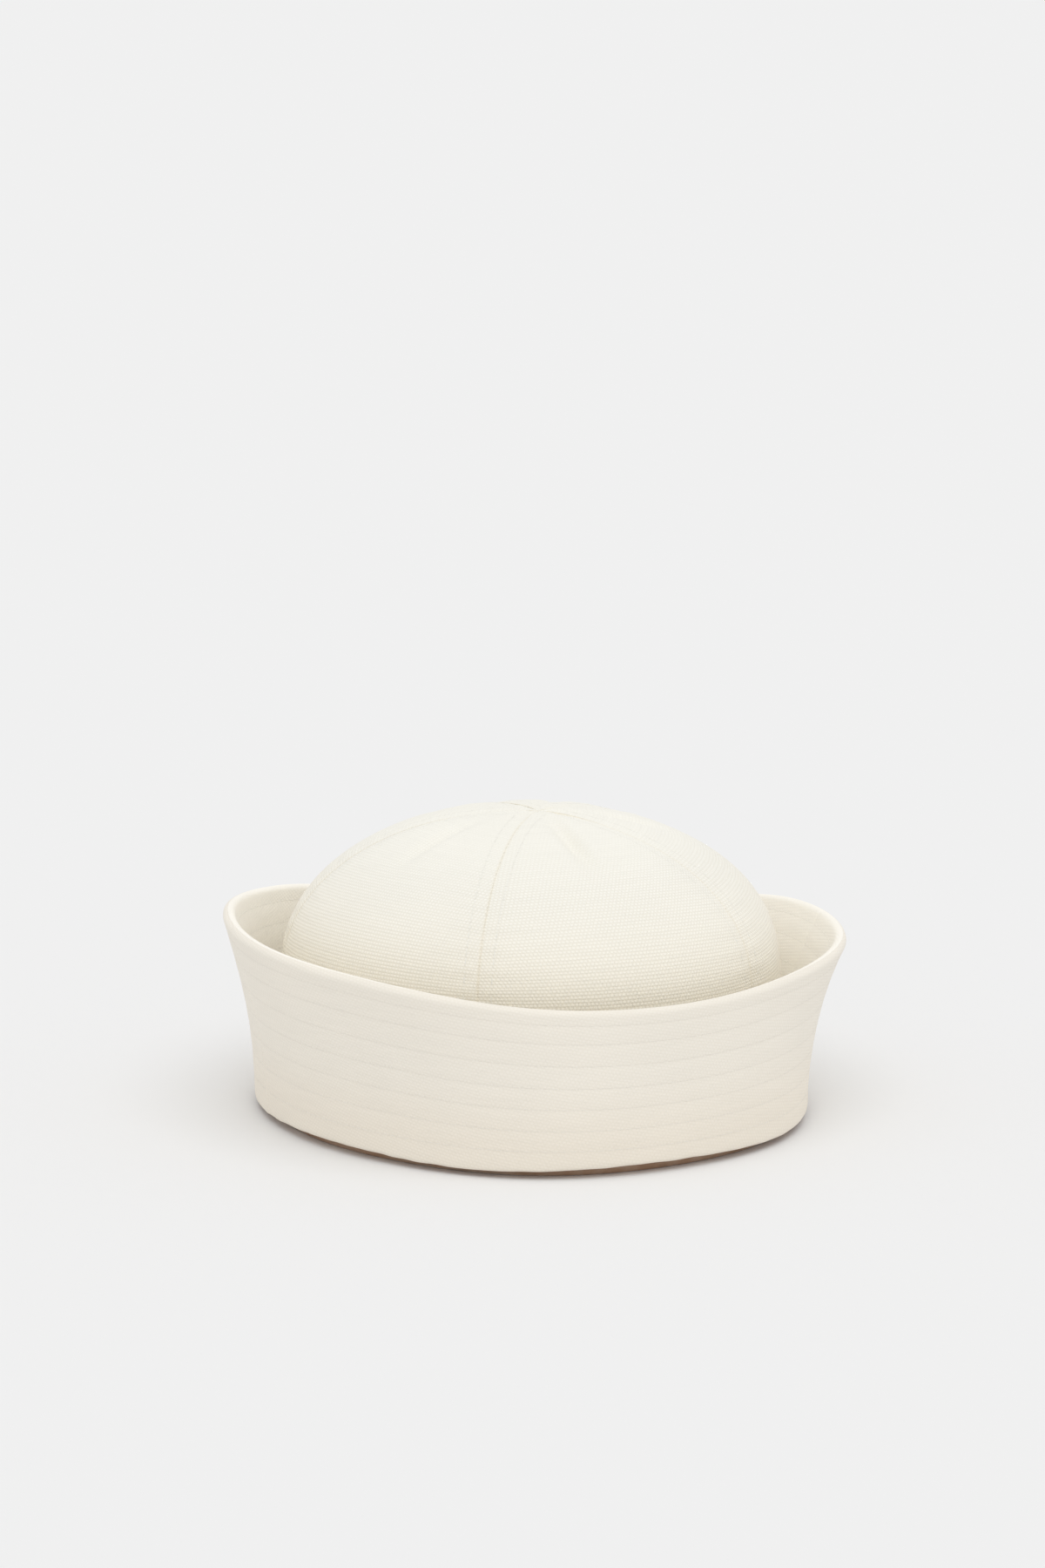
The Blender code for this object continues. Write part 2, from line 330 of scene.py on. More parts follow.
# %% The low relief of the crown
CREASE_DEPTH, CREASE_WIDTH, CREASE_STEP, CREASE_TAPER = 0.0018, 0.0034, 1.2, 1.5
CREASES = ((0.06, 0.50, 1.4), (0.10, 0.40, 0.6), (0.08, 0.38, 0.5), (0.10, 0.42, 0.6), (0.12, 0.52, 0.8))
SEAM_DIP, SEAM_DIP_WIDTH = 0.0006, 0.0045
SEAM_ROLL, SEAM_ROLL_WIDTH = 0.00009, 0.0012
SEAM_STEP, SEAM_STEP_WIDTH = 0.00004, 0.0010
SEAM_FADE = 0.03
FELL_WIDTH, FELL_RAISE, FELL_EDGE = 0.0044, 0.00004, 0.0012
PUCKER, PUCKER_PITCH, PUCKER_FADE, PUCKER_START = 0.00014, 0.0074, 0.009, 0.002
PUCKER_WANDER, WANDER_LENGTH, WANDER_GORE, WANDER_SIDE = 2.5, 0.02, 7.0, 3.0
GATHER, GATHER_REACH, GATHER_START = 0.00045, 0.017, 0.006
GATHER_FOLDS, GATHER_SHIFT, GATHER_CORE = 9, 1.7, 0.004
DENT, DENT_SIZE, DENT_START = 0.0007, 0.045, 0.03
DENT_PLACE = Vector((3.1, 1.7, 0.4))


def seam_relief(off_middle, off_seam, length):
    """A wide dip, a narrow roll, a small step from gore to gore, and the fell."""
    fade = min(length / SEAM_FADE, 1.0)
    relief = -SEAM_DIP * math.exp(-(off_seam / SEAM_DIP_WIDTH) ** 2)
    relief -= fade * SEAM_ROLL * math.exp(-(off_seam / SEAM_ROLL_WIDTH) ** 2)
    relief += fade * math.copysign(SEAM_STEP, off_middle) * math.exp(-(off_seam / SEAM_STEP_WIDTH) ** 2)
    return relief + FELL_RAISE * max(0.0, min(1.0, (FELL_WIDTH - off_seam) / FELL_EDGE + 0.5))


def crease_relief(gore, off_middle, share):
    """A soft dent down the middle of the gore, with a low ridge at its right."""
    start, end, depth = CREASES[gore]
    along = (share - start) / (end - start)
    if not 0 < along < 1:
        return 0.0
    crease = CREASE_DEPTH * depth * math.sin(math.pi * along) ** CREASE_TAPER
    step = off_middle / CREASE_WIDTH
    return crease * (CREASE_STEP * step - 1) * math.exp(-step ** 2)


def crown_relief(gore, off_middle, off_seam, length, radius, share, point):
    """How far the cloth stands out of the plain crown."""
    relief = seam_relief(off_middle, off_seam, length) + crease_relief(gore, off_middle, share)
    place = Vector((length / WANDER_LENGTH, gore * WANDER_GORE, math.copysign(WANDER_SIDE, off_middle)))
    wave = math.sin(2 * math.pi * length / PUCKER_PITCH + PUCKER_WANDER * noise.noise(place))
    beside = math.exp(-((off_seam - PUCKER_START) / PUCKER_FADE) ** 2)
    relief += PUCKER * wave * beside * min(1.0, off_seam / PUCKER_START)
    folds = math.sin(GATHER_FOLDS * off_middle / max(radius, GATHER_CORE) + gore * GATHER_SHIFT)
    gather = folds * math.exp(-(radius / GATHER_REACH) ** 2)
    relief += GATHER * gather * min(1.0, radius / GATHER_START)
    relief += DENT * noise.noise(point / DENT_SIZE + DENT_PLACE) * min(1.0, radius / DENT_START)
    return relief


# %% [markdown]
# A point of a gore
#
# A gore bends two ways, so a flat weave can't simply be laid on it. At each height the gore is taken as a
# strip of a cone, and a cone unrolls flat. The weave map is that unrolled strip, so the threads keep nearly
# the same size from apex to hem. The real rows dip less towards the seams than an unrolled cone does, so only
# about a third of the dip is kept.

# %% A point of a gore
ROW_DIP = 0.35
CROWN_STITCH = 0.0030
LEAST_RADIUS = 1e-5
BETWEEN_ROWS = 1.45


def gore_spot(gore, across, down):
    """Where a point of the gore goes, and its place on the weave and stitch maps."""
    radius, length, growth = (float(np.interp(down, DOWN, v)) for v in (profile[:, 0], LENGTH, GROWTH))
    radius = max(radius, LEAST_RADIUS)
    seam_gap = math.degrees(math.asin(min(SEAM_GAP / radius, math.sin(math.radians(HALF_GORE)))))
    turn = across * (HALF_GORE - seam_gap)
    azimuth = gore_middle(gore) + turn
    off_middle = math.radians(turn) * radius
    off_seam = math.radians(HALF_GORE - abs(turn)) * radius
    plain = crown(azimuth, down, 0.0)
    share = min(down / DOME_SHARE, 1.0)
    relief = crown_relief(gore, off_middle, off_seam, length, radius, share, plain)
    point = crown(azimuth, down, relief)
    cone = radius / growth
    angle = math.radians(turn) * growth
    weave = (cone * math.sin(angle), length - ROW_DIP * cone * (1 - math.cos(angle)))
    stitch = (length / CROWN_STITCH, min(off_seam / FELL_WIDTH, BETWEEN_ROWS))
    return point, weave, stitch


# %% Cut the five gores
GORE_COLUMNS, GORE_ROWS = 72, 96
GORE_EDGE_ROUND = EDGE_ROUND / 2
gores = []
for gore in range(GORES):
    cloth = cut_cloth(
        "crown_gore_%d" % (gore + 1), GORE_COLUMNS, GORE_ROWS,
        lambda across, down, gore=gore: gore_spot(gore, across, down), CROWN_PLY, GORE_EDGE_ROUND,
    )
    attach(cloth, "root")
    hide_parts("crown_panel_%d" % (gore + 1))
    gores.append(cloth)
print(len(gores), "gores cut, each", len(gores[0].data.polygons), "faces before its wall")

# %% [markdown]
# The brim
#
# Each ply is a long strip, cut in a front and a back half that meet at side seams. The two plies are sewn
# together along the rim and turned right side out, so each rolls over into the seam at the rim's top. At its
# foot the outer ply turns in under the cap. It doesn't quite reach the table there, because the cap stands on
# the seam further in, and the crown's seams pull the fold down a little where they end. Between two rows of
# stitches the plies swell very slightly, which is what makes a stitched brim look quilted.

# %% The rows of stitches and the wall between them
STITCH_ROWS = (0.082, 0.198, 0.335, 0.475, 0.607, 0.742, 0.870)
RIM_COUNT, FOOT_COUNT = 0.5, len(STITCH_ROWS) + 0.6
BRIM_STITCH = 0.0029
PUFF, PUFF_SHARPNESS, PUFF_START = 0.00010, 0.8, 0.05
SAG, SAG_SIZE, SAG_START = 0.0007, 0.05, 0.25
SAG_PLACE, SAG_CLIMB = (5.0, 2.0), 1.2
ROUGH_COUNT, ROUGH_PLACE = 14, Vector((0.0, 0.0, 4.0))
BRIM_FACES = {"outer": (0.0, 1), "inner": (-2 * BRIM_PLY - GAP, -1)}


def row_number(drop):
    """Counts the stitch rows down from the rim: a whole number lies on a row."""
    counts = [RIM_COUNT, *range(1, len(STITCH_ROWS) + 1), FOOT_COUNT]
    return float(np.interp(drop, (0.0,) + STITCH_ROWS + (1.0,), counts))


def swell(rise):
    """How far a ply swells between two rows of stitches."""
    number = row_number(1 - rise)
    return PUFF * abs(math.sin(math.pi * number)) ** PUFF_SHARPNESS * min(1.0, rise / PUFF_START)


def sag(azimuth, rise):
    """Slow waves that both plies share, none at the fold."""
    spot = heading(azimuth) * MEAN_RADIUS / SAG_SIZE + Vector((*SAG_PLACE, rise * SAG_CLIMB))
    return SAG * noise.noise(spot) * min(1.0, rise / SAG_START)


def fold_lift(azimuth):
    """How high the fold hangs above the table."""
    rough = noise.noise(heading(azimuth) * ROUGH_COUNT + ROUGH_PLACE)
    wave = math.cos(math.radians(GORES * (azimuth - FIRST_SEAM)))
    return FOLD_LIFT - FOLD_WAVE * wave + FOLD_ROUGH * rough


def brim_face(ply, azimuth, rise):
    """A point on the stitched face of a ply."""
    start, sign = BRIM_FACES[ply]
    return brim_wall(azimuth, rise, start + sign * swell(rise) + sag(azimuth, rise))


# %% The plies from rim to foot
SIDE_DIP, SIDE_DIP_WIDTH = 0.0002, 0.0007
ROLL_RADIUS, RIM_CREST = 0.00193, 0.0004
SEAM_START, SEAM_END, INNER_FOOT = 0.0036, 0.0054, 0.034
ROLL_SHARE, WALL_SHARE, FOLD_SHARE = 0.10, 0.86, 0.91


def brim_cloth(ply, azimuth, down, foot, off_seam):
    """A ply from the rim's seam (down 0), over the roll and down the wall to its foot (down 1)."""
    start, sign = BRIM_FACES[ply]
    tall = wall_height(azimuth)
    top = 1 - (ROLL_RADIUS - RIM_CREST) / tall
    angle = math.pi / 2 * max(0.0, 1 - down / ROLL_SHARE)
    rise = top + (foot - top) * max(0.0, (down - ROLL_SHARE) / (1 - ROLL_SHARE))
    proud = swell(rise) * math.cos(angle) - ROLL_RADIUS * (1 - math.cos(angle))
    proud -= SIDE_DIP * math.exp(-(off_seam / SIDE_DIP_WIDTH) ** 2)
    climb = ROLL_RADIUS * math.sin(angle)
    point = brim_wall(azimuth, rise + climb / tall, start + sign * proud + sag(azimuth, rise))
    row = row_number(1 - rise) if angle == 0 else RIM_COUNT
    return point, tall * rise + ROLL_RADIUS * angle, row


def half_azimuth(half, across):
    seam_gap = math.degrees(SEAM_GAP / MEAN_RADIUS)
    return SIDE_SEAM - 90 + 180 * half + across * (90 - seam_gap)


def outer_spot(half, across, down):
    """The outer ply: down the wall, round the fold, in under the cap and down to the seam it stands on."""
    azimuth = half_azimuth(half, across)
    off_seam = math.radians(90 * (1 - abs(across))) * MEAN_RADIUS
    u = math.radians(azimuth) * MEAN_RADIUS
    lift = fold_lift(azimuth)
    foot = (lift + FOLD_ROUND - FOLD_RADIUS) / wall_height(azimuth)
    wall_down = min(down / WALL_SHARE, 1.0)
    point, v, row = brim_cloth("outer", azimuth, wall_down, foot, off_seam)
    if down > WALL_SHARE:
        turn = min((down - WALL_SHARE) / (FOLD_SHARE - WALL_SHARE), 1.0) * math.pi / 2
        radius = math.hypot(point.x, point.y) - FOLD_ROUND * (1 - math.cos(turn))
        height = lift + FOLD_ROUND * (1 - math.sin(turn))
        v -= FOLD_ROUND * turn
        under = max(0.0, (down - FOLD_SHARE) / (1 - FOLD_SHARE))
        inset = HEM_INSET + CROWN_PLY + FOLD_MARGIN - FOLD_ROUND
        reach = under * inset
        t = min(max(reach + FOLD_ROUND - SEAM_START, 0.0) / (SEAM_END - SEAM_START), 1.0)
        height -= lift * t * t * (3 - 2 * t)
        point = at(azimuth, radius - reach, height)
        v -= reach
    return point, (u, v), (u / BRIM_STITCH, row)


def inner_spot(half, across, down):
    """The inner ply is cut face inwards, so its columns run the other way round."""
    azimuth = half_azimuth(half, -across)
    off_seam = math.radians(90 * (1 - abs(across))) * MEAN_RADIUS
    u = math.radians(azimuth) * MEAN_RADIUS
    point, v, row = brim_cloth("inner", azimuth, down, INNER_FOOT, off_seam)
    return point, (u, v), (u / BRIM_STITCH, row)


# %% Cut the plies of the brim
BRIM_COLUMNS, OUTER_ROWS, INNER_ROWS = 200, 88, 70
plies = {"outer": [], "inner": []}
for half, end in enumerate(("front", "back")):
    for ply, spot, rows in (("outer", outer_spot, OUTER_ROWS), ("inner", inner_spot, INNER_ROWS)):
        cloth = cut_cloth(
            "brim_%s_ply_%s" % (ply, end), BRIM_COLUMNS, rows,
            lambda across, down, half=half, spot=spot: spot(half, across, down), BRIM_PLY, EDGE_ROUND,
        )
        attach(cloth, "root")
        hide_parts("brim_%s_%s" % (ply, end))
        plies[ply].append(cloth)
print("the brim's plies are cut,", len(plies["outer"][0].data.polygons), "faces in an outer half")

# %% [markdown]
# Stitches
#
# A stitch is a short length of thread that comes up through one needle hole and goes down through the next.
# One small sphere is stretched into that shape, and a copy is laid for every stitch: along the surface, with
# its ends dipping into the cloth. Thousands of copies are joined from arrays, which is far quicker than
# thousands of objects, and each copy has only a few faces.

# %% One stitch and a row of them
THREAD = 0.00036
THREAD_SINK = 0.00006
THREAD_SIDES, THREAD_RINGS = 6, 5
STITCH_FILL = 0.84


def thread_bead():
    """A sphere one metre wide that lies along x, to be stretched into a stitch."""
    bm = bmesh.new()
    bmesh.ops.create_uvsphere(bm, u_segments=THREAD_SIDES, v_segments=THREAD_RINGS, radius=0.5)
    bmesh.ops.rotate(bm, verts=bm.verts[:], matrix=Matrix.Rotation(math.pi / 2, 3, "Y"))
    mesh = bpy.data.meshes.new("thread_bead")
    bm.to_mesh(mesh)
    bm.free()
    return mesh


def lay_stitches(name, spots):
    """One mesh with a stitch from each start to each end, standing along its normal."""
    bead = thread_bead()
    corners = np.array([v.co for v in bead.vertices])
    faces = [tuple(p.vertices) for p in bead.polygons]
    points, loops = [], []
    for start, end, normal in spots:
        along = (end - start) * STITCH_FILL
        out = (normal - along * normal.dot(along) / along.length_squared).normalized()
        across = out.cross(along).normalized()
        middle = (start + end) / 2 - out * THREAD_SINK
        turn = np.array([along, across * THREAD, out * THREAD])
        loops += [tuple(i + len(points) * len(corners) for i in face) for face in faces]
        points.append(corners @ turn + np.array(middle))
    mesh = bpy.data.meshes.new(name)
    mesh.from_pydata(np.concatenate(points).tolist(), [], loops)
    mesh.shade_smooth()
    row = bpy.data.objects.new(name, mesh)
    bpy.context.scene.collection.objects.link(row)
    bpy.data.meshes.remove(bead)
    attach(row, "root")
    return row


# %% The brim's topstitching
NEARBY = 0.01


def outward(here, east, north):
    return (east - here).cross(north - here).normalized()


def brim_stitches(ply):
    """The rows of topstitching, at whole numbers of the stitch map."""
    sign = BRIM_FACES[ply][1]
    pitch = math.degrees(BRIM_STITCH / MEAN_RADIUS)
    spots = []
    for half in (0, 1):
        first, last = (half_azimuth(half, across) / pitch for across in (-1, 1))
        for drop in STITCH_ROWS:
            for count in range(math.ceil(first), math.floor(last)):
                here, there = count * pitch, (count + 1) * pitch
                corners = ((here, 1 - drop), (there, 1 - drop), (here, 1 + NEARBY - drop))
                start, end, above = (brim_face(ply, *corner) - OUTLINE_MIDDLE for corner in corners)
                spots.append((start, end, outward(start, end, above) * sign))
    return spots


outer_rows = lay_stitches("brim_topstitching_outside", brim_stitches("outer"))
inner_rows = lay_stitches("brim_topstitching_inside", brim_stitches("inner"))
print("the brim's stitches have", sum(len(o.data.polygons) for o in (outer_rows, inner_rows)), "faces")

# %% The crown's topstitching
FIRST_STITCH, ROW_START = 4, 0.25


def crown_stitches():
    """A row at each side of each seam, through the fell. Near the apex there is no room for them."""
    spots = []
    for gore in range(GORES):
        for sign in (-1, 1):
            for count in range(FIRST_STITCH, math.floor(LENGTH[-1] / CROWN_STITCH)):
                ends = []
                for k in (count, count + 1):
                    down = float(np.interp(k * CROWN_STITCH, LENGTH, DOWN))
                    radius = float(np.interp(down, DOWN, profile[:, 0]))
                    across = 1 - FELL_WIDTH / radius / math.radians(HALF_GORE)
                    ends.append((sign * across, down))
                if ends[0][0] * sign < ROW_START:
                    continue
                across, down = ends[0]
                start, end, beside = (
                    gore_spot(gore, a, d)[0] - OUTLINE_MIDDLE for a, d in (*ends, (across + NEARBY, down))
                )
                spots.append((start, end, outward(start, beside, start * 2 - end)))
    return spots


seam_rows = lay_stitches("crown_topstitching", crown_stitches())
print("the crown's stitches have", len(seam_rows.data.polygons), "faces")

# %% [markdown]
# Helpers for nodes
#
# A material in Blender is a small net of nodes. Each helper adds one node, joins it to what it reads and
# hands back what it gives, so the net is written line by line, as a sum is. It could be drawn in the shader
# editor, but in writing it is read from top to bottom, and four canvases can share it.

# %% Helpers for nodes
def maths(tree, operation, first, second=None, third=None):
    node = tree.nodes.new("ShaderNodeMath")
    node.operation = operation
    for socket, value in zip(node.inputs, (first, second, third)):
        if isinstance(value, (int, float)):
            socket.default_value = value
        elif value is not None:
            tree.links.new(value, socket)
    return node.outputs[0]


def cloth_map(tree, name):
    node = tree.nodes.new("ShaderNodeUVMap")
    node.uv_map = name
    return node.outputs["UV"]


def clouds(tree, vector, scale):
    """Soft noise from 0 to 1."""
    node = tree.nodes.new("ShaderNodeTexNoise")
    node.inputs["Scale"].default_value = scale
    tree.links.new(vector, node.inputs["Vector"])
    return node.outputs["Fac"]


def stretch(tree, vector, scale, turn=0.0):
    node = tree.nodes.new("ShaderNodeMapping")
    node.inputs["Scale"].default_value = scale
    node.inputs["Rotation"].default_value = (0.0, 0.0, math.radians(turn))
    tree.links.new(vector, node.inputs["Vector"])
    return node.outputs["Vector"]


def split(tree, vector):
    node = tree.nodes.new("ShaderNodeSeparateXYZ")
    tree.links.new(vector, node.inputs[0])
    return node.outputs


def smooth_step(tree, value, start, end, low=0.0, high=1.0):
    """Goes smoothly from low, where the value is at start, to high, where the value is at end."""
    node = tree.nodes.new("ShaderNodeMapRange")
    node.interpolation_type = "SMOOTHSTEP"
    for socket, number in (("From Min", start), ("From Max", end), ("To Min", low), ("To Max", high)):
        node.inputs[socket].default_value = number
    tree.links.new(value, node.inputs["Value"])
    return node.outputs["Result"]


# %% Helpers for colours
def between(tree, share, first, second, start=0.0, end=1.0):
    """Blends from the first colour, where share is at start, to the second, where it is at end."""
    ramp = tree.nodes.new("ShaderNodeValToRGB")
    for stop, place, colour in zip(ramp.color_ramp.elements, (start, end), (first, second)):
        stop.position = place
        stop.color = (*colour, 1.0)
    tree.links.new(share, ramp.inputs["Fac"])
    return ramp.outputs["Color"]


def tinted(tree, colour, share, tint, blend="MULTIPLY"):
    """Lays a tint over a colour: not at all where share is 0, and fully where it is 1."""
    mix = tree.nodes.new("ShaderNodeMix")
    mix.data_type = "RGBA"
    mix.blend_type = blend
    tree.links.new(share, mix.inputs["Factor"])
    tree.links.new(colour, mix.inputs["A"])
    mix.inputs["B"].default_value = (*tint, 1.0)
    return mix.outputs["Result"]


def shaded(tree, colour, shade):
    """Makes a colour darker or lighter by a factor."""
    node = tree.nodes.new("ShaderNodeVectorMath")
    node.operation = "SCALE"
    tree.links.new(colour, node.inputs[0])
    tree.links.new(shade, node.inputs["Scale"])
    return node.outputs["Vector"]


def less(tree, shade, mark, amount):
    """Takes amount off a factor where a mark is 1."""
    return maths(tree, "MULTIPLY", shade, maths(tree, "MULTIPLY_ADD", mark, -amount, 1.0))


# %% [markdown]
# The weave
#
# Canvas is a plain weave of thick soft threads, so the eye sees rows of round dots: the places where a thread
# lies on top. A texture of dots would give the look from afar, but the dots are simple to write. Each is a
# round back along its thread times a round back across it. How far a row of dots is shifted beside the one
# before it depends on how the cloth is pulled: not at all gives a square grid, as in the front left gore, and
# nearly half gives the slanting rows of the brim. The same height lightens the dots and darkens the gaps
# between them, and drives the bump.

# %% The weave
Weave = namedtuple("Weave", "dot_pitch row_pitch lean turn bump")
STAGGERED = Weave(0.00127, 0.001155, 0.45, 0.0, 0.00016)
SQUARE = Weave(0.00112, 0.001155, 0.0, 0.0, 0.00016)
SLANTED = Weave(0.00132, 0.001015, -0.43, 11.7, 0.00006)
DOT_ROUND = 1.1
UNEVEN = 0.4
UNEVEN_DOTS, UNEVEN_ROWS = (900, 60, 1), (60, 800, 1)


def round_back(tree, count):
    """0 at whole numbers and 1 half way between them, like threads side by side."""
    wave = maths(tree, "ABSOLUTE", maths(tree, "SINE", maths(tree, "MULTIPLY", count, math.pi)))
    return maths(tree, "POWER", wave, DOT_ROUND)


def weave_height(tree, weave_map, weave):
    """0 in the gaps and 1 on the dots. The threads are spaced a little unevenly, as spun ones are."""
    turned = stretch(tree, weave_map, (1, 1, 1), weave.turn)
    counts = []
    for axis, pitch, scale in ((0, weave.dot_pitch, UNEVEN_DOTS), (1, weave.row_pitch, UNEVEN_ROWS)):
        uneven = clouds(tree, stretch(tree, turned, scale), 1.0)
        count = maths(tree, "MULTIPLY", split(tree, turned)[axis], 1 / pitch)
        counts.append(maths(tree, "MULTIPLY_ADD", uneven, UNEVEN, count))
    dots, rows = counts
    dots = maths(tree, "MULTIPLY_ADD", maths(tree, "FLOOR", rows), weave.lean, dots)
    return maths(tree, "MULTIPLY", round_back(tree, dots), round_back(tree, rows))


# %% [markdown]
# Needle holes
#
# The needle leaves a small hole at both ends of a stitch, and the taut thread presses a shallow groove into
# the cloth. Real holes would cost far too many faces, so they are a darker, lower spot in the material. The
# stitch map says where: a hole is where it is at two whole numbers at once, and a groove where its row is.

# %% Needle holes
Sewing = namedtuple("Sewing", "stitch row_gap hole_shade")
ROW_GAP = BRIM_HEIGHT * (STITCH_ROWS[-1] - STITCH_ROWS[0]) / (len(STITCH_ROWS) - 1)
CROWN_SEWING = Sewing(CROWN_STITCH, FELL_WIDTH, 0.06)
BRIM_SEWING = Sewing(BRIM_STITCH, ROW_GAP, 0.05)
LINING_SEWING = Sewing(BRIM_STITCH, ROW_GAP, 0.04)
HOLE_SIZE = 0.00036
HOLE_DEPTH, GROOVE_DEPTH, GROOVE_FAINTER = 6, 1.5, 6


def needle_marks(tree, stitch_map, sewing):
    """Two marks that are 1 at their middle and 0 away from it: the needle holes, and the groove of a row."""
    offs = []
    for place, size in zip(split(tree, stitch_map), (sewing.stitch, sewing.row_gap)):
        off = maths(tree, "SUBTRACT", place, maths(tree, "ROUND", place))
        off = maths(tree, "MULTIPLY", off, size / HOLE_SIZE)
        offs.append(maths(tree, "MULTIPLY", off, off))
    hole = maths(tree, "EXPONENT", maths(tree, "MULTIPLY", maths(tree, "ADD", *offs), -1.0))
    groove = maths(tree, "EXPONENT", maths(tree, "MULTIPLY", offs[1], -0.5))
    return hole, groove


print("the brim's rows of stitches are %.1f mm apart" % (1000 * ROW_GAP))

# %% [markdown]
# Colours that depend on the place
#
# Most of these tints are painted light, not the canvas's own colour. In the photograph it is warmer low on
# the crown, at the brim's foot and along the seams, and where the crown is lightest the weave hardly shows.
# Low on the crown and the lining the warmth is painted bounce light, at the brim's foot a darker warmth is
# painted shade, and the weave fading at the crown's top is a painted highlight. There is a brown strip under
# the fold, so the cloth is tinted brown there, in patches, as painted shade. One flat colour would be
# simpler, but beside the photograph it looks like plaster. Each tint follows the height of the cloth or one
# of its maps, so it stays on the cloth when the cap is seen from another side.

# %% Colours that depend on the place
# Painted light low on the cloth: warm bounce light low on the crown and the lining, and darker, warmer
# painted shade at the brim's foot near the table.
Warmth = namedtuple("Warmth", "top foot tint")
CROWN_LOW_PAINTED_LIGHT = Warmth(0.095, 0.045, (1.045, 1.012, 0.965))
BRIM_LOW_PAINTED_LIGHT = Warmth(0.035, 0.006, (0.985, 0.965, 0.94))
LINING_LOW_PAINTED_LIGHT = Warmth(0.080, 0.030, (1.0, 0.995, 0.99))
SEAM_TINT, SEAM_TINT_REACH = (1.0, 0.98, 0.945), 0.2
# Painted highlight: towards the crown's top the weave flattens in colour and bump, where the top light burns
# it out.
TOP_GLARE_START, TOP_GLARE_END, TOP_GLARE_WEAVE = 0.080, 0.097, 0.3
# Painted shade: the brown under the fold is the shade between the fold and the table, strongest near the fold
# and fading further under the cap.
FOLD_SHADE_BROWN = (0.38, 0.235, 0.15)
FOLD_SHADE_START, FOLD_SHADE_END = -0.0004, -0.0012
FOLD_SHADE_FADE_START, FOLD_SHADE_FADE_END, FOLD_SHADE_DEEP = -0.0040, -0.0066, 0.12
PATCH_SCALE, PATCH_CHANGE, PATCH_LEAST = 120.0, 0.5, 0.7
MOTTLE_SCALE, MOTTLE = 28.0, 0.05
SLUB_SCALE, SLUB = (50, 850, 1), 0.06


def around_one(tree, cloud, change):
    """A factor that follows a cloud, as far above 1 as below it."""
    return maths(tree, "MULTIPLY_ADD", cloud, change, 1 - change / 2)


def unevenness(tree, place, weave_map):
    """Slow patches in the bleach, and slubs, the thicker places of a thread."""
    mottle = around_one(tree, clouds(tree, place, MOTTLE_SCALE), MOTTLE)
    slub = around_one(tree, clouds(tree, stretch(tree, weave_map, SLUB_SCALE), 1.0), SLUB)
    return maths(tree, "MULTIPLY", mottle, slub)


def painted_fold_shade(tree, colour, place, weave_map):
    """Painted shade under the fold: brown in patches from the fold inwards, nearly gone further under the
    cap.
    """
    down = split(tree, weave_map)[1]
    under = smooth_step(tree, down, FOLD_SHADE_START, FOLD_SHADE_END)
    fold_shade_fade = smooth_step(tree, down, FOLD_SHADE_FADE_START, FOLD_SHADE_FADE_END, 1.0, FOLD_SHADE_DEEP)
    patchy = maths(tree, "MULTIPLY_ADD", clouds(tree, place, PATCH_SCALE), PATCH_CHANGE, PATCH_LEAST)
    fold_shade_share = maths(tree, "MULTIPLY", maths(tree, "MULTIPLY", under, fold_shade_fade), patchy)
    return tinted(tree, colour, maths(tree, "MINIMUM", fold_shade_share, 1.0), FOLD_SHADE_BROWN, "MIX")


# %% [markdown]
# Canvas
#
# A canvas is put together from the parts above. The weave gives the height and the two colours, the
# unevenness and the needle marks darken it, and the tints, most of them painted light and shade, come last.
# Cotton is dull, so the shader is nearly fully rough, with a trace of sheen for the loose fibres. The outer
# ply has two materials. Its wall comes from a modifier, which can give the side that faces the inner ply the
# next material in the list. So the painted brown shade of the fold stays outside and doesn't show in the
# groove behind the rim.

# %% A canvas
Cotton = namedtuple("Cotton", "thread gap warmth sewing")
# One canvas makes the whole cap. The brim's cotton is darker and warmer than the crown's as painted shade and
# warm light, and the lining's is lighter as painted light, for light that comes through the cloth and bounces
# in the groove behind the rim.
CROWN_COTTON = Cotton((0.95, 0.935, 0.868), (0.872, 0.848, 0.765), CROWN_LOW_PAINTED_LIGHT, CROWN_SEWING)
BRIM_COTTON = Cotton((0.915, 0.867, 0.78), (0.885, 0.835, 0.74), BRIM_LOW_PAINTED_LIGHT, BRIM_SEWING)
LINING_COTTON = Cotton((0.99, 0.96, 0.885), (0.975, 0.94, 0.86), LINING_LOW_PAINTED_LIGHT, LINING_SEWING)
GAP_END, DOT_START = 0.1, 0.85
ROUGHNESS = 0.95
CANVAS_GLOSS, CANVAS_SHEEN, CANVAS_FUZZ, CANVAS_BUMP = 0.2, 0.12, 0.6, 0.8


def cotton_material(name, gloss, sheen):
    material = bpy.data.materials.new(name)
    material.use_nodes = True
    tree = material.node_tree
    shader = tree.nodes["Principled BSDF"]
    shader.inputs["Roughness"].default_value = ROUGHNESS
    shader.inputs["Specular IOR Level"].default_value = gloss
    shader.inputs["Sheen Weight"].default_value = sheen
    return material, tree, shader, tree.nodes.new("ShaderNodeTexCoord").outputs["Object"]


def finish_surface(tree, shader, colour, height, bump_height, strength=1.0):
    bump = tree.nodes.new("ShaderNodeBump")
    bump.inputs["Strength"].default_value = strength
    bump.inputs["Distance"].default_value = bump_height
    tree.links.new(height, bump.inputs["Height"])
    tree.links.new(bump.outputs["Normal"], shader.inputs["Normal"])
    tree.links.new(colour, shader.inputs["Base Color"])


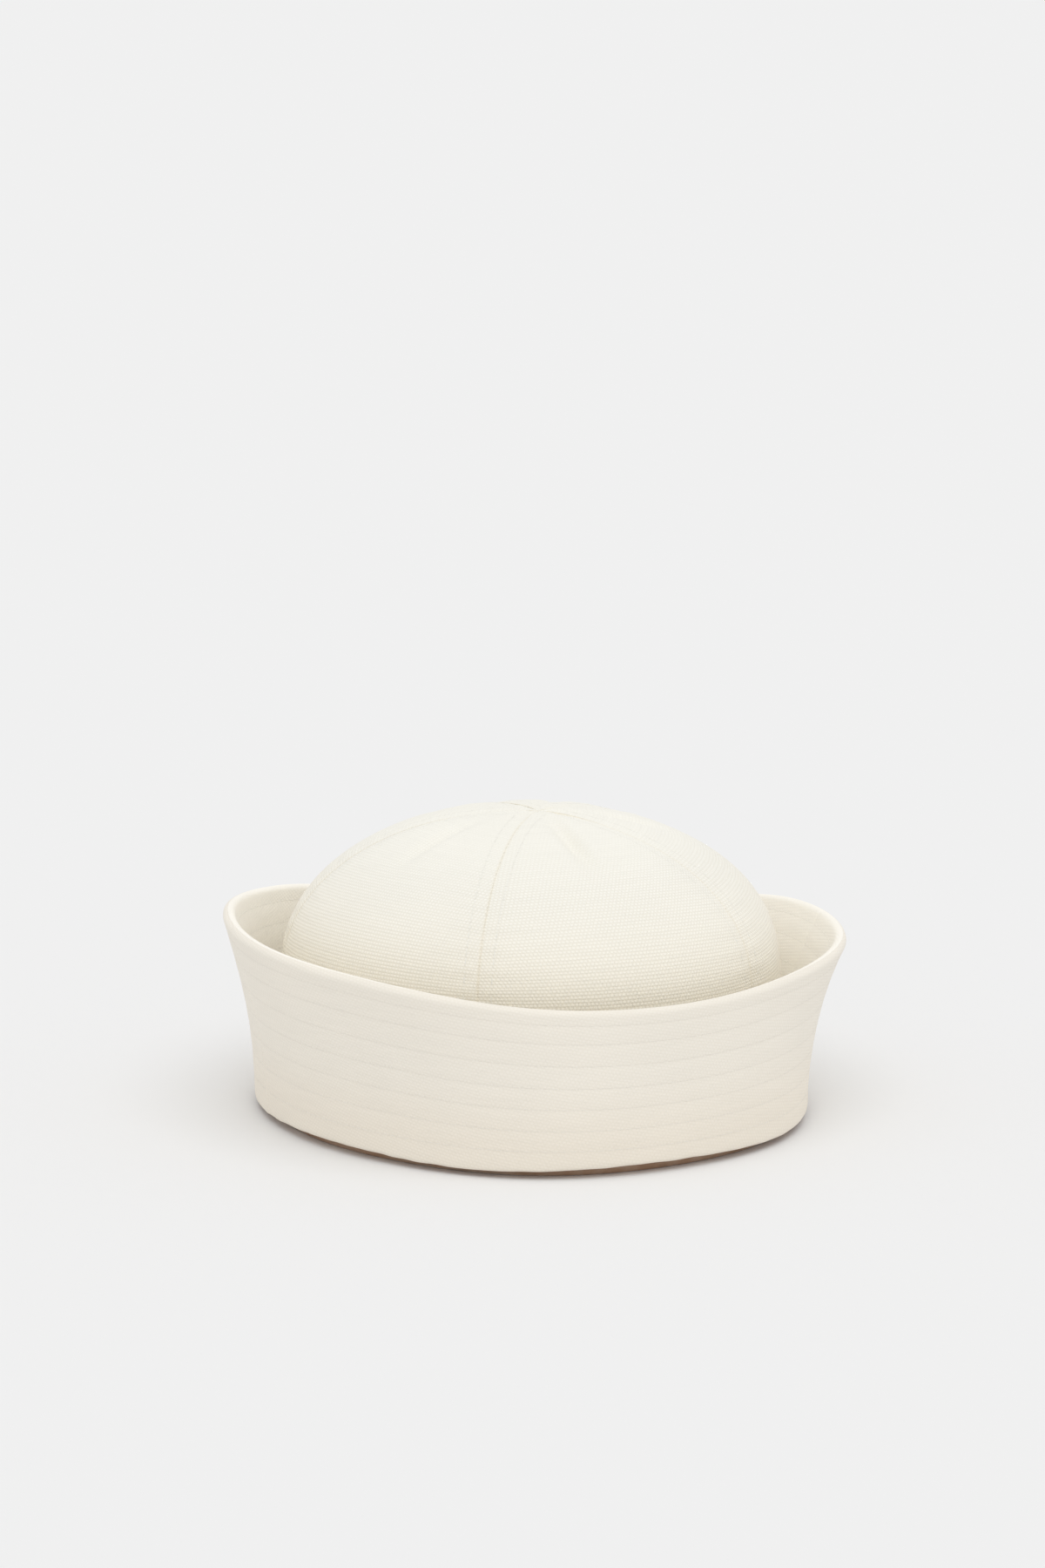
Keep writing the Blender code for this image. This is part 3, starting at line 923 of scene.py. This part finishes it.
def canvas(name, cotton, weave, with_fold_shade=False):
    material, tree, shader, place = cotton_material(name, CANVAS_GLOSS, CANVAS_SHEEN)
    shader.inputs["Sheen Roughness"].default_value = CANVAS_FUZZ
    weave_map, stitch_map = cloth_map(tree, "weave"), cloth_map(tree, "stitch")
    above = split(tree, place)[2]

    # Painted highlight: the weave fades near the crown's top, where the top light burns it out.
    top_glare_fade = smooth_step(tree, above, TOP_GLARE_START, TOP_GLARE_END, 1.0, TOP_GLARE_WEAVE)
    height = maths(tree, "SUBTRACT", weave_height(tree, weave_map, weave), 0.5)
    height = maths(tree, "MULTIPLY_ADD", height, top_glare_fade, 0.5)
    hole, groove = needle_marks(tree, stitch_map, cotton.sewing)

    hole_shade = cotton.sewing.hole_shade
    shade = less(tree, unevenness(tree, place, weave_map), hole, hole_shade)
    shade = less(tree, shade, groove, hole_shade / GROOVE_FAINTER)
    colour = shaded(tree, between(tree, height, cotton.gap, cotton.thread, GAP_END, DOT_START), shade)
    # Painted light: bounce light low on the crown and lining, and shade at the brim's foot.
    low = smooth_step(tree, above, cotton.warmth.top, cotton.warmth.foot)
    colour = tinted(tree, colour, low, cotton.warmth.tint)
    near_seam = smooth_step(tree, split(tree, stitch_map)[1], SEAM_TINT_REACH, 0.0)
    colour = tinted(tree, colour, near_seam, SEAM_TINT)
    # Painted shade under the fold, on the outer ply only.
    if with_fold_shade:
        colour = painted_fold_shade(tree, colour, place, weave_map)

    sunk = maths(tree, "MULTIPLY_ADD", hole, -HOLE_DEPTH * hole_shade, height)
    sunk = maths(tree, "MULTIPLY_ADD", groove, -GROOVE_DEPTH * hole_shade, sunk)
    finish_surface(tree, shader, colour, sunk, weave.bump, CANVAS_BUMP)
    return material


# %% Canvas on every piece of cloth
crown_canvas = canvas("crown_canvas", CROWN_COTTON, STAGGERED)
square_canvas = canvas("crown_canvas_square", CROWN_COTTON, SQUARE)
brim_canvas = canvas("brim_canvas", BRIM_COTTON, SLANTED, with_fold_shade=True)
inner_canvas = canvas("brim_inner_canvas", LINING_COTTON, SLANTED)
for cloth in gores:
    cloth.data.materials.append(square_canvas if cloth is gores[-1] else crown_canvas)
for cloth in plies["outer"]:
    cloth.data.materials.append(brim_canvas)
    cloth.data.materials.append(inner_canvas)
    cloth.modifiers["ply"].material_offset = 1
for cloth in plies["inner"]:
    cloth.data.materials.append(inner_canvas)
print("canvas on", len(gores), "gores and", len(plies["outer"] + plies["inner"]), "halves of brim plies")

# %% [markdown]
# Thread
#
# The sewing thread is the cloth's own bleached cotton, so it is as dull as the cloth and has its colour. Only
# its twist sets it apart: fine fibres, a little darker and lower between than on top.

# %% Thread
FIBRE_SCALE, FIBRE_DARK = 9000.0, 0.88
THREAD_GLOSS, THREAD_SHEEN, THREAD_BUMP = 0.15, 0.1, 0.00005


def cotton_thread(name, light):
    material, tree, shader, place = cotton_material(name, THREAD_GLOSS, THREAD_SHEEN)
    fibre = clouds(tree, place, FIBRE_SCALE)
    dark = [FIBRE_DARK * c for c in light]
    finish_surface(tree, shader, between(tree, fibre, dark, light), fibre, THREAD_BUMP)
    return material


threads = (
    (outer_rows, "brim_thread", BRIM_COTTON),
    (inner_rows, "brim_inside_thread", LINING_COTTON),
    (seam_rows, "crown_thread", CROWN_COTTON),
)
for row, name, cotton in threads:
    row.data.materials.append(cotton_thread(name, cotton.thread))
print("thread on", len(threads), "sets of stitches")
